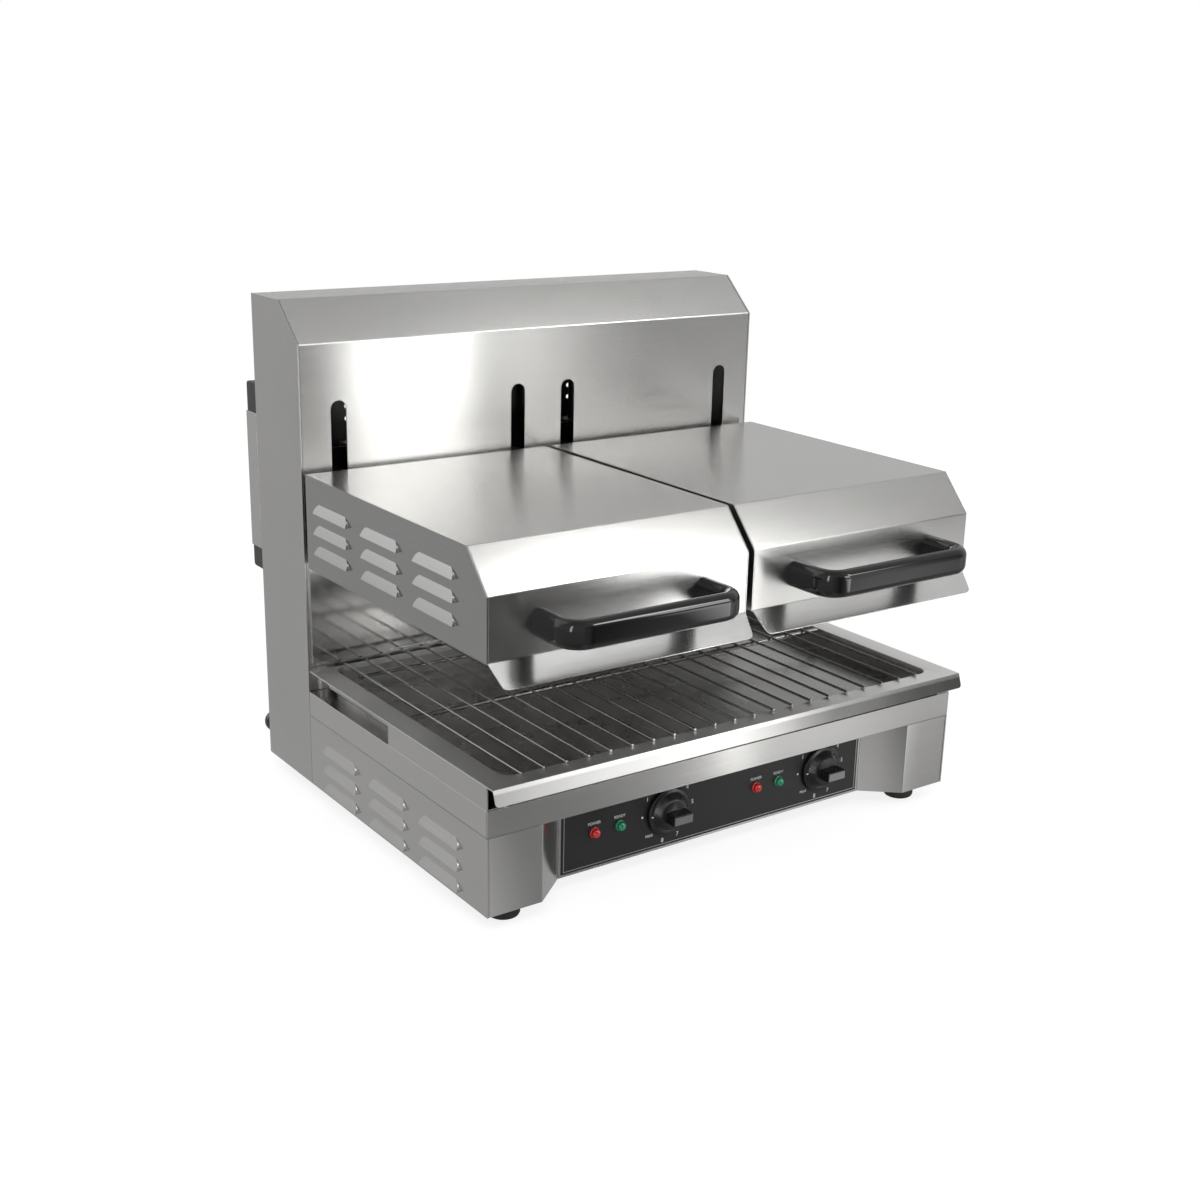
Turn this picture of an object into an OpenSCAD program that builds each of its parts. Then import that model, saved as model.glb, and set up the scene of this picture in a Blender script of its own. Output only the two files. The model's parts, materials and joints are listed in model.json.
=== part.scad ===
// Counter-top cheese melter: a base with a drip pan and wire rack, a rear tower,
// and two heating heads that ride up and down on guide rods inside the tower.
// Millimetres. +X right seen from the front, +Y to the rear, +Z up.
// Origin: floor level, at the centre of the overall footprint.
// Inside the modules, y = 0 is the base's front face and z = 0 its bottom edge.

/* [Cabinet] */
// Width over the side panels
body_w = 600; // [596:1:604]
// Depth of base and tower together
body_d = 481; // [479:1:484]
// Height of the tower above the panels' bottom edge
body_h = 524; // [520:1:540]
// Depth of the tower
tower_d = 110; // [108:1:112]
// Depth of the tower's flat top
tower_top_d = 65; // [60:1:70]
// Height that the tower's front chamfer drops
tower_drop = 41; // [36:1:46]
// Height of the base's flat top
base_h = 108; // [107:1:109]
// Height of the band folded down round the base's top
band_h = 27; // [25:1:29]
// Thickness of the stainless sheet
sheet_t = 1.5; // [1.2:0.1:1.6]

/* [Legs and controls] */
// Width of a leg block's front face
leg_w = 61; // [58:1:64]
// Width taken by a leg's slanted inner face
leg_slant_w = 39; // [36:1:42]
// Setback of the control fascia from the front
fascia_setback = 32; // [30:1:34]
// Height of the control axis above the bottom edge
dial_z = 41; // [39:1:43]
// Distance between the two sets of controls
control_pitch = 208; // [204:1:210]
// Knob skirt diameter
knob_d = 52; // [48:1:54]

/* [Feet] */
// Height of the rubber feet
foot_h = 18; // [14:1:22]
// Diameter of the rubber feet
foot_d = 33; // [30:1:36]

/* [Heads] */
// Gap between the two heads
head_gap = 7; // [6:1:9]
// Height of the head's bottom edge at rest
head_z = 250; // [248:1:252]
// Height of the head's side panels
head_h = 101; // [99:1:103]
// Height of the head's upright front face
head_front_h = 62; // [60:1:64]
// Depth of the chamfer on the head's front
head_chamfer_d = 35; // [32:1:38]
// Clearance between a head and the tower
head_clear = 11; // [9:1:12]
// Reach of the heat deflector in front of the head
skirt_reach = 20; // [16:1:22]

/* [Handles] */
// Overall length of a handle
handle_l = 206; // [200:1:210]
// Reach of a handle from the head's face
handle_reach = 61; // [56:1:64]
// Height of the handle bar
handle_h = 28; // [26:1:30]
// Thickness of the handle bar
handle_t = 18; // [16:1:20]

/* [Lift] */
// Width of the slots in the tower's front
slot_w = 18; // [17:1:19]
// Height of the slots' upper end
slot_top = 422.5; // [422:0.5:424]
// Distance between a head's two slots
slot_pitch = 222; // [220:1:224]
// Distance of each head's pair of slots from the tower's middle
lift_mid = 144.5; // [143:0.5:146]
// Rise of a head above its rest height
lift_up = 70; // [60:1:70]
// Drop of a head below its rest height
lift_down = 60; // [50:1:60]
// Guide rod diameter
rod_d = 12; // [11:1:13]

/* [Pan and rack] */
// Height of the pan's flange above the base's top
pan_h = 25.4; // [25:0.1:26]
// Thickness of the pan's sheet
pan_t = 1.2; // [1:0.1:1.4]
// Number of long wires in the rack
wire_count = 21; // [19:1:23]
// Pitch of the long wires
wire_pitch = 25.6; // [25:0.1:25.8]
// Sideways offset of the long wires from the pan's middle
wire_shift = -4; // [-5:0.5:0]
// Diameter of the long wires
wire_d = 2.8; // [2.4:0.2:3.2]
// Diameter of the middle cross wire
cross_d = 5; // [4:0.5:6]

/* [Hidden] */

// Colours
steel = [0.72, 0.72, 0.71];
bright_steel = [0.82, 0.82, 0.81];
dark_steel = [0.45, 0.45, 0.46];
black_plastic = [0.06, 0.06, 0.065];
grey_plastic = [0.22, 0.22, 0.23];

// Derived places
side_x = body_w / 2;
tower_y = body_d - tower_d;
seam = 0.5;
spacer_depth = 29;
frame_y = (body_d + spacer_depth - handle_reach) / 2;
bend_r = 3;
leg_top = base_h - band_h;
leg_fold = 15;
fascia_half = side_x - leg_w - leg_slant_w;
control_x = [-67, -67 + control_pitch];
red_offset = -91;
green_offset = -60;
label_margin = 3.5;
label_t = 0.8;
shaft_r = 3;
running_gap = 0.05;
spacer_w = 28;
spacer_low = 218;
spacer_high = 427;
cover_low = 242;
cover_high = 394;
gland_x = -284;
gland_z = 28;
gland_bore_r = 4.5;

head_w = side_x + 1 - head_gap / 2;
head_mid = (side_x + 1 + head_gap / 2) / 2;
head_rear_y = tower_y - head_clear;
head_in = head_gap / 2 + sheet_t;
head_out = side_x + 1 - sheet_t;
head_top = head_z + head_h;
handle_z = head_z + head_front_h / 2;
skirt_drop = 20;
element_r = 4;
element_z = head_z + 18;
element_pitch = 84;
element_half = 20;
element_rear = head_rear_y - 20;
head_flange = 10;
flange_front = sheet_t + 2;
reflector_z = head_z + 38;

arm_w = 12;
arm_h = 30;
arm_low = 318;
carriage_low = 300;
carriage_high = 366;
slot_low = 253;
rod_r = rod_d / 2;
rod_offset = 70;
rod_y = tower_y + 49;
rod_low = carriage_low - lift_down - 14;
rod_high = carriage_high + lift_up + 14;
bush_r = 11;
spring_r = 9;
spring_wire_r = 1.2;
spring_y = rod_y + 27;

pan_z = base_h + pan_h;
pan_half = side_x + 1;
pan_front = -11;
pan_rear = tower_y - 5;
pan_in_half = side_x - 24;
pan_in_front = 10;
pan_in_rear = tower_y - 12;
pan_lift = 0.3;
lip_reach = 5.5;
lip_drop = 15;
wire_z = pan_z + pan_lift + wire_d / 2;
wire_front = 7;
wire_rear = tower_y - 8;
cross_y = 191;
cross_half = pan_in_half - 1.5;
rear_wire_d = 3.6;
rear_wire_y = tower_y - 46.5;

louvre_l = 73;
louvre_pitch = 105;
louvre_rise = 22;
louvre_h = 10.8;
louvre_out = 4;
louvre_wall = 1;
louvre_root = 0.2;

// ---------- Helpers ----------

module place() {
    translate([0, -frame_y, foot_h]) children();
}

// Extrudes a (y, z) outline along X, from x0 to x1
module along_x(x0, x1) {
    translate([x0, 0, 0]) rotate([90, 0, 90]) linear_extrude(x1 - x0) children();
}

// Extrudes an (x, z) outline along Y, from y0 to y1
module along_y(y0, y1) {
    translate([0, y1, 0]) rotate([90, 0, 0]) linear_extrude(y1 - y0) children();
}

// The left part as drawn for side = -1, mirrored for side = 1
module on_side(side) {
    mirror([side > 0 ? 1 : 0, 0, 0]) children();
}

module rounded_rect(w, h, r) {
    translate([-w / 2 + r, -h / 2]) square([w - 2 * r, h]);
    translate([-w / 2, -h / 2 + r]) square([w, h - 2 * r]);
    for (sx = [-1, 1], sz = [-1, 1])
        translate([sx * (w / 2 - r), sz * (h / 2 - r)]) circle(r, $fn = 32);
}

// Tab that hangs from z = h down to z = 0, its two lower corners rounded
module tab_2d(w, h, r) {
    translate([-w / 2, r]) square([w, h - r]);
    translate([-w / 2 + r, 0]) square([w - 2 * r, r + 1]);
    for (s = [-1, 1]) translate([s * (w / 2 - r), r]) circle(r, $fn = 32);
}

module slot_2d(w, low, high) {
    translate([-w / 2, low + w / 2]) square([w, high - low - w]);
    for (z = [low + w / 2, high - w / 2]) translate([0, z]) circle(d = w, $fn = 32);
}

function unit(v) = v / norm(v);
function left_normal(a, b) = let (u = unit(b - a)) [-u[1], u[0]];

// The corner at b rounded by an arc of radius r between segments ab and bc
function corner_arc(a, b, c, r, steps = 4) =
    let (n1 = left_normal(a, b), n2 = left_normal(b, c),
         turn = sign(unit(b - a)[0] * unit(c - b)[1] - unit(b - a)[1] * unit(c - b)[0]),
         centre = b + r * turn * (n1 + n2) / (1 + n1 * n2),
         a1 = atan2(-turn * n1[1], -turn * n1[0]),
         a2 = atan2(-turn * n2[1], -turn * n2[0]),
         span = a2 - a1 > 180 ? a2 - a1 - 360 : a2 - a1 < -180 ? a2 - a1 + 360 : a2 - a1)
    [for (i = [0:steps]) centre + r * [cos(a1 + span * i / steps), sin(a1 + span * i / steps)]];

function bend_path(p, r) = [
    p[0],
    for (i = [1:len(p) - 2]) each corner_arc(p[i - 1], p[i], p[i + 1], r),
    p[len(p) - 1]];

function shift_path(p, d) = [for (i = [0:len(p) - 1])
    let (n1 = i > 0 ? left_normal(p[i - 1], p[i]) : left_normal(p[0], p[1]),
         n2 = i < len(p) - 1 ? left_normal(p[i], p[i + 1]) : n1)
    p[i] + d * (n1 + n2) / (1 + n1 * n2)];

function reversed(p) = [for (i = [len(p) - 1:-1:0]) p[i]];

// A sheet of thickness t bent along path p, lying on the path's left
module bent_sheet(p, t, r) {
    outer = bend_path(p, r);
    polygon(concat(outer, reversed(shift_path(outer, t))));
}

// ---------- Louvres ----------

// One sloping hood: flat face, two rounded upper corners, lower edge along Y
module hood(inset, depth, x_limit) {
    slope = atan((louvre_out + louvre_root) / louvre_h);
    r = louvre_h / cos(slope) - inset;
    half = louvre_l / 2 - r - inset;
    intersection() {
        translate([-louvre_out, 0, 0]) rotate([0, slope, 0]) translate([inset, 0, 0])
            rotate([90, 0, 90]) linear_extrude(depth) {
                translate([-half, -4]) square([2 * half, r + 4]);
                for (s = [-1, 1]) translate([s * half, 0]) circle(r, $fn = 48);
            }
        translate([-20, -louvre_l, 0]) cube([20 + x_limit, 2 * louvre_l, 20]);
    }
}

module louvre_places(front, z_top) {
    for (col = [0:2], row = [0:2])
        translate([0, front + louvre_l / 2 + col * louvre_pitch,
                   z_top + 0.8 - louvre_h - row * louvre_rise]) children();
}

// A left-hand panel with nine eyelid louvres, each open along its lower edge
module louvred_panel(front, z_top, face_x) {
    difference() {
        union() {
            children();
            translate([face_x, 0, 0]) louvre_places(front, z_top) hood(0, 6, 0.8);
        }
        translate([face_x, 0, 0]) louvre_places(front, z_top) hood(louvre_wall, 8, 10);
    }
}

// ---------- Tower ----------

tower_outline = [
    [tower_y, 0], [body_d, 0], [body_d, body_h],
    [body_d - tower_top_d, body_h], [tower_y, body_h - tower_drop]];

module tower_side(side) {
    flange_w = 12;
    color(steel) on_side(side) {
        along_x(-side_x, -side_x + sheet_t) polygon(tower_outline);
        translate([-side_x, tower_y + sheet_t, 3])
            cube([flange_w, sheet_t, body_h - tower_drop - 6]);
        difference() {
            translate([-side_x, body_d - 2 * sheet_t, 3]) cube([flange_w, sheet_t, body_h - 6]);
            back_screw_places() rotate([90, 0, 0]) cylinder(r = 2.1, h = 9, $fn = 24);
            translate([gland_x, body_d + 1, gland_z]) rotate([90, 0, 0])
                cylinder(r = 9, h = 12, $fn = 48);
        }
    }
}

module tower_wrapper() {
    half = side_x - sheet_t - seam;
    path = [[body_d - sheet_t, body_h], [body_d - tower_top_d, body_h],
            [tower_y, body_h - tower_drop], [tower_y, base_h]];
    color(steel) difference() {
        along_x(-half, half) bent_sheet(path, sheet_t, bend_r);
        for (side = [-1, 1], arm = [-1, 1])
            translate([side * lift_mid + arm * slot_pitch / 2, 0, 0])
                along_y(tower_y - 1, tower_y + 3) slot_2d(slot_w, slot_low, slot_top);
    }
}

// Polished plate on the tower's front, behind the pan, with a hemmed lower edge
module splash_back() {
    half = side_x - 5;
    low = 136.5;
    high = 248;
    t = 1.2;
    color(bright_steel) {
        along_y(tower_y - t, tower_y) translate([0, (low + high) / 2])
            rounded_rect(2 * half, high - low, 4);
        translate([-half + 5, tower_y - t - 0.6, low]) cube([2 * half - 10, 0.7, 3]);
    }
}

module back_panel() {
    half = side_x - sheet_t - seam;
    color(steel) difference() {
        translate([-half, body_d - sheet_t, 2]) cube([2 * half, sheet_t, body_h - sheet_t - 2.5]);
        for (x = [-150, 150], row = [0:7])
            translate([x, 0, 60 + 14 * row]) along_y(body_d - 3, body_d + 1)
                rotate(90) slot_2d(5, -45, 45);
        for (x = [-150, 150], row = [0:7])
            translate([x, 0, 380 + 14 * row]) along_y(body_d - 3, body_d + 1)
                rotate(90) slot_2d(5, -45, 45);
        translate([gland_x, body_d + 1, gland_z]) rotate([90, 0, 0])
            cylinder(r = 8, h = 4, $fn = 48);
        back_screw_places() rotate([90, 0, 0]) translate([0, 0, -3])
            cylinder(r = 2.1, h = 6, $fn = 24);
    }
}

module back_screw_places() {
    for (side = [-1, 1], z = [70, 190, 450, 505])
        translate([side * (side_x - 7), body_d, z]) children();
}

// Pan-head screws that hold the back panel to the side casings' flanges
module back_screws() {
    color(dark_steel) back_screw_places() {
        rotate([-90, 0, 0]) rotate_extrude($fn = 32)
            polygon([[0, 0], [4, 0], [3.8, 1.2], [3, 2.1], [1.6, 2.5], [0, 2.5]]);
        rotate([90, 0, 0]) cylinder(r = 2, h = 8, $fn = 24);
    }
}

module wall_spacers() {
    mid = side_x - 2 - spacer_w / 2;
    color(grey_plastic) for (side = [-1, 1])
        along_x(side * mid - spacer_w / 2, side * mid + spacer_w / 2)
            translate([body_d, spacer_low])
                spacer_outline(spacer_depth - 1.5, spacer_high - spacer_low, 4);
}

// Flat towards the back panel, rounded at its two outer corners
module spacer_outline(d, h, r) {
    square([d - r, h]);
    translate([0, r]) square([d, h - 2 * r]);
    for (z = [r, h - r]) translate([d - r, z]) circle(r, $fn = 32);
}

// Stainless channels that cover the middle of the wall spacers
module spacer_covers() {
    mid = side_x - 2 - spacer_w / 2;
    wall = 1;
    gap = 3;
    color(steel) for (side = [-1, 1]) translate([side * mid, 0, cover_low]) {
        translate([-spacer_w / 2 - wall, body_d + spacer_depth - 1.5, 0])
            cube([spacer_w + 2 * wall, 1.5, cover_high - cover_low]);
        for (s = [-1, 1])
            translate([s * (spacer_w / 2 + wall / 2) - wall / 2, body_d + gap, 0])
                cube([wall, spacer_depth - gap, cover_high - cover_low]);
    }
}

module cable_gland() {
    color(black_plastic) translate([gland_x, body_d, gland_z]) rotate([-90, 0, 0])
        rotate_extrude($fn = 48) polygon([
            [gland_bore_r, -10], [8, -10], [8, 0], [13, 0], [13, 9], [11.5, 11], [11.5, 14],
            [12.2, 15], [12.2, 22], [10.5, 26], [7.5, 28.5], [gland_bore_r, 28.5]]);
}

// ---------- Lift mechanism in the tower ----------

module rod_places() {
    for (side = [-1, 1], s = [-1, 1])
        translate([side * lift_mid + s * rod_offset, rod_y, 0]) children();
}

module guide_rods() {
    color(bright_steel) rod_places() translate([0, 0, rod_low])
        cylinder(r = rod_r, h = rod_high - rod_low, $fn = 48);
}

// Upper and lower cross bars that hold the rods, flanged at the front
module rod_bars() {
    half = side_x - sheet_t;
    color(dark_steel) difference() {
        for (z = [rod_low, rod_high - 4]) {
            translate([-half, rod_y - 24, z]) cube([2 * half, 60, 4]);
            translate([-half, rod_y - 24, z]) cube([2 * half, 3, 14]);
        }
        rod_places() translate([0, 0, rod_low - 1])
            cylinder(r = rod_r, h = rod_high - rod_low + 2, $fn = 48);
    }
}

module stop_buffers() {
    height = 8;
    color(black_plastic) rod_places() for (z = [rod_low + 4, rod_high - 4 - height])
        translate([0, 0, z]) difference() {
            cylinder(r = rod_r + 5, h = height, $fn = 32);
            translate([0, 0, -1]) cylinder(r = rod_r, h = height + 2, $fn = 48);
        }
}

// Plate behind the tower's front, with two arms that reach through the slots
// and two sleeves that run on the guide rods
module carriage(side) {
    plate_y = rod_y - 17;
    half = slot_pitch / 2 + arm_w / 2;
    color(dark_steel) translate([side * lift_mid, 0, 0]) difference() {
        union() {
            translate([-half, plate_y, carriage_low])
                cube([2 * half, 4, carriage_high - carriage_low]);
            for (s = [-1, 1]) {
                translate([s * slot_pitch / 2 - arm_w / 2, head_rear_y, arm_low])
                    cube([arm_w, plate_y - head_rear_y + 1, arm_h]);
                translate([s * rod_offset, rod_y, carriage_low])
                    cylinder(r = bush_r + 4, h = carriage_high - carriage_low, $fn = 48);
            }
            // Tab for the spring's lower end
            translate([-12, plate_y, carriage_low]) cube([24, spring_y - plate_y + 8, 4]);
        }
        for (s = [-1, 1]) translate([s * rod_offset, rod_y, carriage_low - 1])
            cylinder(r = bush_r, h = carriage_high - carriage_low + 2, $fn = 48);
        translate([lift_mid, 0, 0]) arm_screw_places() rotate([-90, 0, 0])
            translate([0, 0, -1]) cylinder(r = 3, h = 15, $fn = 32);
    }
}

module bushes(side) {
    color([0.75, 0.6, 0.3]) translate([side * lift_mid, rod_y, 0])
        for (s = [-1, 1], z = [carriage_low, carriage_high - 22])
            translate([s * rod_offset, 0, z]) difference() {
                cylinder(r = bush_r, h = 22, $fn = 48);
                translate([0, 0, -1]) cylinder(r = rod_r + running_gap, h = 24, $fn = 48);
            }
}

// Closed tube swept along a list of centre points, for the coil springs
function ring_at(p, dir, r, sides) =
    let (side_v = unit(cross(dir, [0, 0, 1])), up_v = cross(side_v, dir))
    [for (k = [0:sides - 1])
        p + r * (cos(360 * k / sides) * side_v + sin(360 * k / sides) * up_v)];

module coil(r, wire, z_low, z_high, turns) {
    steps = 10;
    sides = 6;
    count = turns * steps;
    pts = [for (i = [0:count])
        [r * cos(360 * i / steps), r * sin(360 * i / steps),
         z_low + wire + (z_high - z_low - 2 * wire) * i / count]];
    rings = [for (i = [0:count])
        each ring_at(pts[i], unit(pts[min(i + 1, count)] - pts[max(i - 1, 0)]), wire, sides)];
    faces = concat(
        [[for (k = [0:sides - 1]) k]],
        [for (i = [0:count - 1], k = [0:sides - 1])
            [i * sides + k, (i + 1) * sides + k,
             (i + 1) * sides + (k + 1) % sides, i * sides + (k + 1) % sides]],
        [[for (k = [sides - 1:-1:0]) count * sides + k]]);
    polyhedron(rings, faces);
}

// Tension spring from the upper cross bar down to the carriage's tab
module lift_spring(side) {
    color(bright_steel) translate([side * lift_mid, spring_y, 0])
        coil(spring_r, spring_wire_r, carriage_low + 4, rod_high - 4, 14);
}

// ---------- Base ----------

// Flat top with a band folded down at the front and sides, open at its corners
module base_top() {
    notch = 0.6;
    color(steel) {
        translate([-side_x, 0, base_h - sheet_t])
            cube([body_w, tower_y - seam, sheet_t]);
        translate([-side_x, 0, leg_top]) cube([body_w, sheet_t, band_h]);
        for (x = [-side_x, side_x - sheet_t])
            translate([x, sheet_t + notch, leg_top])
                cube([sheet_t, tower_y - seam - sheet_t - notch, band_h]);
    }
}

module base_side(side) {
    flange_w = 14;
    color(steel) on_side(side) louvred_panel(50, 60, -side_x) {
        translate([-side_x, 0, 0]) cube([sheet_t, tower_y - seam, leg_top - 0.3]);
        translate([-side_x, leg_fold + 2, 0])
            cube([flange_w, tower_y - seam - leg_fold - 2, sheet_t]);
    }
}

// Leg block: fold against the side panel, front face, slanted inner face and the
// fold that the fascia is fixed to
module leg(side) {
    path = [[-side_x + sheet_t, leg_fold], [-side_x + sheet_t, 0], [-side_x + leg_w, 0],
            [-side_x + leg_w + leg_slant_w, fascia_setback],
            [-side_x + leg_w + leg_slant_w, fascia_setback + leg_fold]];
    color(steel) on_side(side) translate([0, 0, 0.2])
        linear_extrude(leg_top - 0.5) bent_sheet(path, sheet_t, 2);
}

module fascia() {
    t = sheet_t;
    color(steel) difference() {
        union() {
            translate([-fascia_half + 0.3, fascia_setback, 0])
                cube([2 * fascia_half - 0.6, t, leg_top]);
            translate([0, 0, leg_top]) linear_extrude(t) polygon([
                [-side_x + leg_w, t], [side_x - leg_w, t],
                [fascia_half - 0.3, fascia_setback + t], [-fascia_half + 0.3, fascia_setback + t]]);
            translate([-fascia_half + 0.3, fascia_setback, 0])
                cube([2 * fascia_half - 0.6, 16, t]);
        }
        for (x = control_x) {
            translate([x, 0, dial_z]) panel_hole(5);
            for (dx = [red_offset, green_offset]) translate([x + dx, 0, dial_z - 1]) panel_hole(4);
        }
    }
}

module panel_hole(r) {
    translate([0, fascia_setback + 5, 0]) rotate([90, 0, 0]) cylinder(r = r, h = 10, $fn = 48);
}

module label_plate() {
    half = fascia_half - label_margin;
    color(black_plastic) difference() {
        translate([-half, fascia_setback - label_t, 3])
            cube([2 * half, label_t, leg_top - 5]);
        for (x = control_x) {
            translate([x, 0, dial_z]) panel_hole(6);
            for (dx = [red_offset, green_offset]) translate([x + dx, 0, dial_z - 1]) panel_hole(4);
        }
    }
}

// Bottom plate: fills the base and both legs, cut back under the fascia
module base_bottom() {
    in = 2 * sheet_t + 0.4;
    half = side_x - in;
    outline = [
        [-half, in], [-side_x + leg_w - 2, in], [-fascia_half - 4, fascia_setback - 0.5],
        [-fascia_half - 4, fascia_setback + 18], [fascia_half + 4, fascia_setback + 18],
        [fascia_half + 4, fascia_setback - 0.5], [side_x - leg_w + 2, in], [half, in],
        [half, body_d - 3.5], [-half, body_d - 3.5]];
    color(dark_steel) difference() {
        translate([0, 0, sheet_t]) linear_extrude(sheet_t) polygon(outline);
        for (x = [-180:40:180], y = [140, 300]) translate([x, y, 0])
            linear_extrude(6) slot_2d(6, -35, 35);
        foot_places() cylinder(r = 3.2, h = 8, $fn = 32);
    }
}

module foot_places() {
    for (side = [-1, 1], y = [30, body_d - 31]) translate([side * 264, y, 0]) children();
}

module feet() {
    color(black_plastic) foot_places() translate([0, 0, -foot_h]) rotate_extrude($fn = 64)
        polygon([
            [3.2, 8], [6.5, 8], [6.5, 0], [foot_d / 2 - 3, 0], [foot_d / 2 - 1, 1.2],
            [foot_d / 2, 3.5], [foot_d / 2, foot_h - 4], [foot_d / 2 - 1.5, foot_h],
            [foot_d / 2 - 1.5, foot_h + sheet_t], [3.2, foot_h + sheet_t]]);
}

// Screws that hold the feet: head in the foot's recess, nut above the bottom plate
module foot_screws() {
    color(bright_steel) foot_places() {
        translate([0, 0, -foot_h + 4]) cylinder(r = 5.5, h = 4, $fn = 32);
        translate([0, 0, -foot_h + 6]) cylinder(r = 3, h = foot_h + 4, $fn = 32);
        translate([0, 0, 2 * sheet_t]) cylinder(r = 5.6, h = 5, $fn = 6);
    }
}

// Upright guards on the base's top that carry the front half of the pan's side flanges
module pan_guards() {
    top = pan_z - pan_t - pan_lift;
    color(steel) for (side = [-1, 1]) on_side(side) {
        translate([-side_x, 1, base_h]) cube([sheet_t, 189, top - base_h]);
        translate([-side_x, 1, base_h]) cube([18, 189, sheet_t]);
    }
}

// Energy regulators behind the fascia, each with a threaded bush and two rows of terminals
module regulators() {
    depth = 34;
    color(grey_plastic) for (x = control_x) translate([x, fascia_setback, dial_z]) {
        difference() {
            union() {
                along_y(sheet_t, sheet_t + depth) rounded_rect(42, 36, 3);
                translate([0, sheet_t, 0]) rotate([90, 0, 0])
                    cylinder(r = 4.9, h = sheet_t + 2.6, $fn = 48);
                for (dx = [-15, 15], dz = [-9, 0, 9])
                    translate([dx - 3, sheet_t + depth - 0.5, dz - 0.4]) cube([6, 8, 0.8]);
            }
            translate([0, 12, 0]) rotate([90, 0, 0])
                cylinder(r = shaft_r + running_gap, h = 20, $fn = 48);
        }
    }
}

// Lens with a small collar in front of the fascia and its lamp body behind
module pilot_lamps(offset) {
    behind = label_t + sheet_t;
    for (x = control_x) translate([x + offset, fascia_setback - label_t, dial_z - 1])
        rotate([90, 0, 0]) rotate_extrude($fn = 48) polygon([
            [0, -26], [5.5, -26], [5.5, -behind], [3.8, -behind], [3.8, 0], [5.6, 0], [5.6, 1.2],
            [4.7, 1.6], [4.6, 4.4], [3.9, 5.6], [2.2, 6.4], [0, 6.7]]);
}

module pilot_lamps_red() {
    color([0.75, 0.05, 0.05]) pilot_lamps(red_offset);
}

module pilot_lamps_green() {
    color([0.02, 0.45, 0.25]) pilot_lamps(green_offset);
}

module terminal_block() {
    color([0.85, 0.84, 0.8]) translate([-120, body_d - 60, 2 * sheet_t]) difference() {
        union() {
            cube([70, 26, 8]);
            translate([0, 6, 0]) cube([70, 14, 20]);
        }
        for (i = [0:4]) translate([8 + 13.5 * i, 13, 8]) cylinder(r = 3, h = 14, $fn = 24);
    }
}

// ---------- Knobs ----------

// Skirted knob: flat rim, coned hub and a bar grip that points to the 0 mark
module knob(i) {
    rim_y = fascia_setback - label_t - 0.6;
    color(black_plastic) translate([control_x[i], rim_y, dial_z]) rotate([90, 0, 0]) difference() {
        union() {
            rotate_extrude($fn = 64) polygon([
                [0, 0], [knob_d / 2, 0], [knob_d / 2, 3], [knob_d / 2 - 1, 4],
                [knob_d / 2 - 4, 4.6], [17, 11], [15.5, 12.2], [0, 12.6]]);
            translate([0, 0, 6]) linear_extrude(20.5) rounded_rect(25, 11, 1.5);
        }
        translate([0, 0, -1]) cylinder(r = 8, h = 5, $fn = 48);
        cylinder(r = shaft_r, h = 16, $fn = 48);
    }
}

module knob_shaft(i) {
    rim_y = fascia_setback - label_t - 0.6;
    color(bright_steel) translate([control_x[i], rim_y - 15, dial_z]) rotate([-90, 0, 0])
        cylinder(r = shaft_r, h = 27, $fn = 48);
}

// ---------- Pan and rack ----------

// Drip pan: flanged rim, well with rounded corners, folded front lip and side folds
module drip_pan() {
    corner_r = 14;
    well_w = 2 * pan_in_half;
    well_d = pan_in_rear - pan_in_front;
    mid_y = (pan_in_rear + pan_in_front) / 2;
    floor_z = base_h + pan_lift;
    lip_l = norm([lip_reach, lip_drop]);
    color(bright_steel) difference() {
        union() {
            translate([-pan_half, pan_front, pan_z - pan_t])
                cube([2 * pan_half, pan_rear - pan_front, pan_t]);
            translate([0, mid_y, floor_z]) linear_extrude(pan_h - pan_lift - pan_t / 2)
                rounded_rect(well_w + 2 * pan_t, well_d + 2 * pan_t, corner_r + pan_t);
            translate([0, pan_front + 0.1, pan_z - 0.2])
                rotate([-atan2(lip_reach, lip_drop), 0, 0])
                translate([0, 0, -lip_l]) along_y(0, pan_t) tab_2d(2 * pan_half - 0.6, lip_l, 4);
            for (side = [-1, 1]) on_side(side)
                along_x(-side_x + 3, -side_x + 3 + pan_t) polygon([
                    [20, pan_z - 0.3], [20, pan_z - 8], [326, pan_z - 8], [333, pan_z - 0.3]]);
        }
        translate([0, mid_y, floor_z + pan_t]) linear_extrude(pan_h + 1)
            rounded_rect(well_w, well_d, corner_r);
    }
}

module wire_rack() {
    weld = 0.3;
    span = (wire_count - 1) * wire_pitch;
    color(bright_steel) {
        for (i = [0:wire_count - 1])
            translate([wire_shift - span / 2 + i * wire_pitch, wire_front, wire_z])
                rotate([-90, 0, 0]) cylinder(d = wire_d, h = wire_rear - wire_front, $fn = 24);
        translate([-cross_half, cross_y, wire_z - (wire_d + cross_d) / 2 + weld])
            rotate([0, 90, 0]) cylinder(d = cross_d, h = 2 * cross_half, $fn = 32);
        translate([wire_shift - span / 2 - 3, rear_wire_y,
                   wire_z - (wire_d + rear_wire_d) / 2 + weld])
            rotate([0, 90, 0]) cylinder(d = rear_wire_d, h = span + 6, $fn = 24);
    }
}

// ---------- Heads ----------

head_outline = [
    [head_rear_y, head_z], [head_rear_y, head_top], [head_chamfer_d, head_top],
    [0, head_z + head_front_h], [0, head_z]];

// Top, chamfer and front face bent from one sheet
module head_cover(side) {
    path = [[head_rear_y, head_top], [head_chamfer_d, head_top],
            [0, head_z + head_front_h], [0, head_z]];
    color(steel) on_side(side) difference() {
        along_x(-head_out, -head_in) bent_sheet(path, sheet_t, bend_r);
        handle_screw_places() rotate([90, 0, 0]) translate([0, 0, -6])
            cylinder(r = 3.1, h = 12, $fn = 32);
    }
}

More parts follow.
